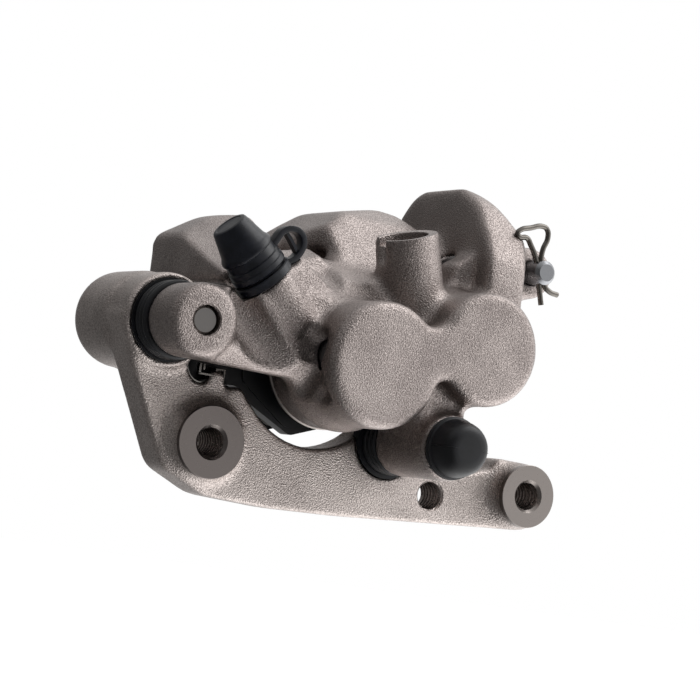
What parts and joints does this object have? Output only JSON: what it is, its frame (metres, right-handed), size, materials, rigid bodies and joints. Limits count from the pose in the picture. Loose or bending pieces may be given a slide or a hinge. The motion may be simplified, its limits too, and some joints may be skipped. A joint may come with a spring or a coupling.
{
  "type": "two-piston sliding disc brake caliper",
  "caption": "Sliding disc brake caliper on its mounting bracket, with slide pins, bellows, pads, pad pin and clip, capped bleed nipple and open hose port.",
  "frame": {"origin": "midway between the two threaded mounting lugs, on their machined faces", "axes": "+X along the line of the lugs towards the hose side, +Y along the disc axis into the wheel, +Z away from the disc axis"},
  "size_m": [0.1469, 0.0843, 0.1023],
  "materials": {
    "cast_metal": "bead-blasted and hard anodised, warm grey",
    "machined_steel": "turned and zinc plated",
    "spring_steel": "bright stainless strip",
    "rubber": "moulded, satin black",
    "pad_plate": "black painted steel",
    "friction": "sintered lining, dull"
  },
  "bodies": {
    "bracket": {"bracket": "cast_metal", "lower_slide_pin": "machined_steel", "pad_retainer": "spring_steel", "upper_boot": "rubber", "lower_boot": "rubber"},
    "caliper": {"caliper_body": "cast_metal", "upper_slide_pin": "machined_steel", "pin_sleeve": "rubber", "seal_left": "rubber", "seal_right": "rubber", "dust_seal_left": "rubber", "dust_seal_right": "rubber", "pad_pin": "machined_steel", "pad_pin_clip": "machined_steel", "pad_spring": "spring_steel"},
    "piston_left": {"piston_left": "machined_steel"},
    "piston_right": {"piston_right": "machined_steel"},
    "inner_pad": {"inner_backing": "pad_plate", "inner_lining": "friction", "inner_shim": "pad_plate"},
    "outer_pad": {"outer_backing": "pad_plate", "outer_lining": "friction", "outer_shim": "pad_plate"},
    "bleed_screw": {"bleed_screw": "machined_steel"},
    "bleed_cap": {"bleed_cap": "rubber"}
  },
  "joints": [
    {"name": "caliper_slide", "type": "slide", "parent": "bracket", "child": "caliper", "axis": [0, -1, 0], "range_m": [-0.001, 0.0035], "deforming": ["upper_boot", "lower_boot"]},
    {"name": "inner_pad_slide", "type": "slide", "parent": "caliper", "child": "inner_pad", "axis": [0, 1, 0], "range_m": [0, 0.0039]},
    {"name": "piston_left_slide", "type": "slide", "parent": "caliper", "child": "piston_left", "axis": [0, 1, 0], "range_m": [0, 0.0039]},
    {"name": "piston_right_slide", "type": "slide", "parent": "caliper", "child": "piston_right", "axis": [0, 1, 0], "range_m": [0, 0.0039]},
    {"name": "outer_pad_slide", "type": "slide", "parent": "caliper", "child": "outer_pad", "axis": [0, -1, 0], "range_m": [0, 0.0005]},
    {"name": "bleed_screw_turn", "type": "hinge", "parent": "caliper", "child": "bleed_screw", "pos_m": [-0.0497, -0.009, 0.0451], "axis": [-0.7373, 0, 0.6756], "range_deg": [0, 180]},
    {"name": "bleed_cap_pull", "type": "slide", "parent": "caliper", "child": "bleed_cap", "axis": [-0.7373, 0, 0.6756], "range_m": [0, 0.015]}
  ],
  "couplings": [
    {"joint": "piston_left_slide", "follows": "inner_pad_slide", "ratio": 1},
    {"joint": "piston_right_slide", "follows": "inner_pad_slide", "ratio": 1}
  ]
}
